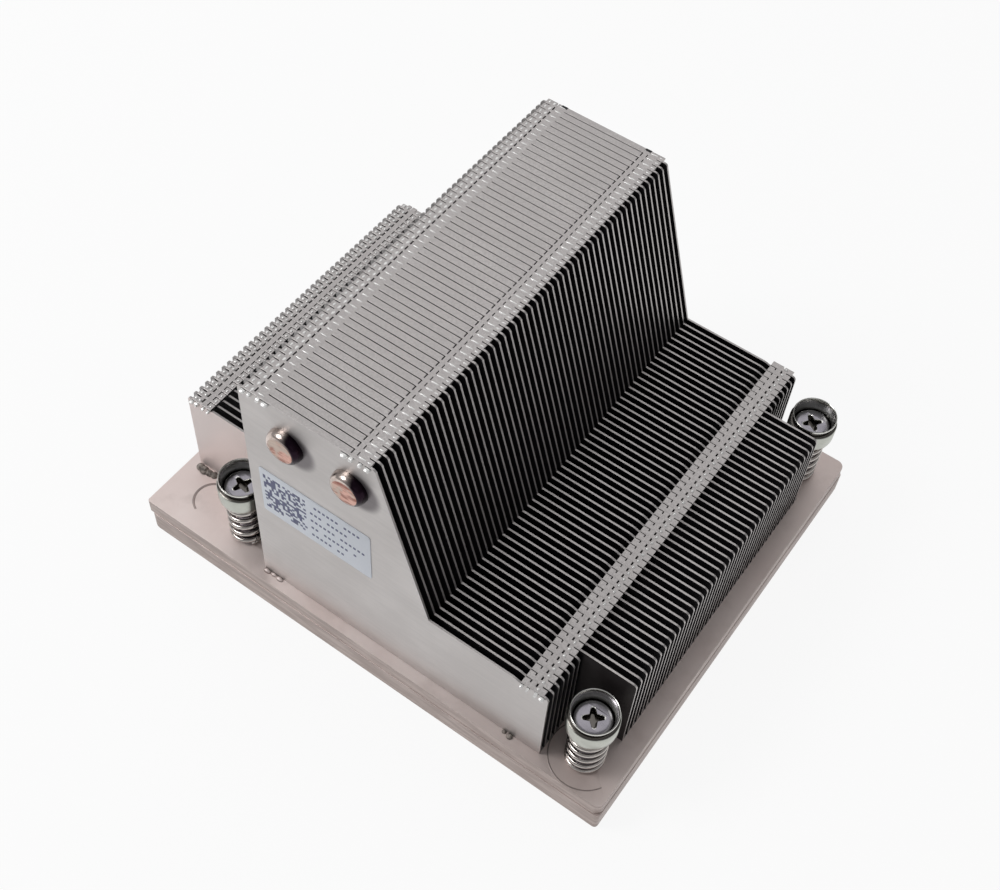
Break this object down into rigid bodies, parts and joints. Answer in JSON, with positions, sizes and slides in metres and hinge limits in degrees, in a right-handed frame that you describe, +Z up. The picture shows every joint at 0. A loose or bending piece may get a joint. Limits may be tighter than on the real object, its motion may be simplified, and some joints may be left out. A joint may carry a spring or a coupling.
{
  "type": "cpu heatsink",
  "caption": "Passive server processor heat sink: a stack of folded fins with stepped sides on a two-plate base, with bent heat pipes and sprung captive screws at the corners.",
  "frame": {"origin": "centre of the screw square, on the underside of the base", "axes": "+Z up out of the base, +X along the fins towards their longer low side, -Y towards the heat pipe ends and the label"},
  "size_m": [0.109, 0.0944, 0.0668],
  "materials": {
    "base": "satin, faintly pink",
    "fins": "mill finish sheet",
    "heat_pipe": "bare copper",
    "label": "matte film",
    "screw": "nickel plated",
    "cup": "nickel plated",
    "spring": "nickel plated wire",
    "clip": "spring steel"
  },
  "bodies": {
    "heat_sink": {"lower_base_plate": "base", "upper_base_plate": "base", "heat_pipe_left": "heat_pipe", "heat_pipe_right": "heat_pipe", "fin_pair_01": "fins", "fin_pair_02": "fins", "fin_pair_03": "fins", "fin_pair_04": "fins", "fin_pair_05": "fins", "fin_pair_06": "fins", "fin_pair_07": "fins", "fin_pair_08": "fins", "fin_pair_09": "fins", "fin_pair_10": "fins", "fin_pair_11": "fins", "fin_pair_12": "fins", "fin_pair_13": "fins", "fin_pair_14": "fins", "fin_pair_15": "fins", "fin_pair_16": "fins", "fin_pair_17": "fins", "fin_pair_18": "fins", "fin_pair_19": "fins", "fin_pair_20": "fins", "fin_pair_21": "fins", "fin_pair_22": "fins", "fin_pair_23": "fins", "fin_pair_24": "fins", "fin_pair_25": "fins", "fin_pair_26": "fins", "fin_pair_27": "fins", "fin_pair_28": "fins", "label": "label", "screw_spring_front_left": "spring", "screw_spring_front_right": "spring", "screw_spring_back_left": "spring", "screw_spring_back_right": "spring"},
    "cup_front_left": {"screw_cup_front_left": "cup"},
    "screw_front_left": {"screw_front_left": "screw", "screw_clip_front_left": "clip"},
    "cup_front_right": {"screw_cup_front_right": "cup"},
    "screw_front_right": {"screw_front_right": "screw", "screw_clip_front_right": "clip"},
    "cup_back_left": {"screw_cup_back_left": "cup"},
    "screw_back_left": {"screw_back_left": "screw", "screw_clip_back_left": "clip"},
    "cup_back_right": {"screw_cup_back_right": "cup"},
    "screw_back_right": {"screw_back_right": "screw", "screw_clip_back_right": "clip"}
  },
  "joints": [
    {"name": "press_front_left", "type": "slide", "parent": "heat_sink", "child": "cup_front_left", "axis": [0, 0, -1], "range_m": [0, 0.0035], "stiffness_N_per_m": 4700, "springref_m": -0.001, "deforming": ["screw_spring_front_left"]},
    {"name": "turn_front_left", "type": "hinge", "parent": "cup_front_left", "child": "screw_front_left", "pos_m": [-0.04, -0.04, 0.0215], "axis": [0, 0, -1], "continuous": true},
    {"name": "press_front_right", "type": "slide", "parent": "heat_sink", "child": "cup_front_right", "axis": [0, 0, -1], "range_m": [0, 0.0035], "stiffness_N_per_m": 4700, "springref_m": -0.001, "deforming": ["screw_spring_front_right"]},
    {"name": "turn_front_right", "type": "hinge", "parent": "cup_front_right", "child": "screw_front_right", "pos_m": [0.04, -0.04, 0.0215], "axis": [0, 0, -1], "continuous": true},
    {"name": "press_back_left", "type": "slide", "parent": "heat_sink", "child": "cup_back_left", "axis": [0, 0, -1], "range_m": [0, 0.0035], "stiffness_N_per_m": 4700, "springref_m": -0.001, "deforming": ["screw_spring_back_left"]},
    {"name": "turn_back_left", "type": "hinge", "parent": "cup_back_left", "child": "screw_back_left", "pos_m": [-0.04, 0.04, 0.0215], "axis": [0, 0, -1], "continuous": true},
    {"name": "press_back_right", "type": "slide", "parent": "heat_sink", "child": "cup_back_right", "axis": [0, 0, -1], "range_m": [0, 0.0035], "stiffness_N_per_m": 4700, "springref_m": -0.001, "deforming": ["screw_spring_back_right"]},
    {"name": "turn_back_right", "type": "hinge", "parent": "cup_back_right", "child": "screw_back_right", "pos_m": [0.04, 0.04, 0.0215], "axis": [0, 0, -1], "continuous": true}
  ]
}
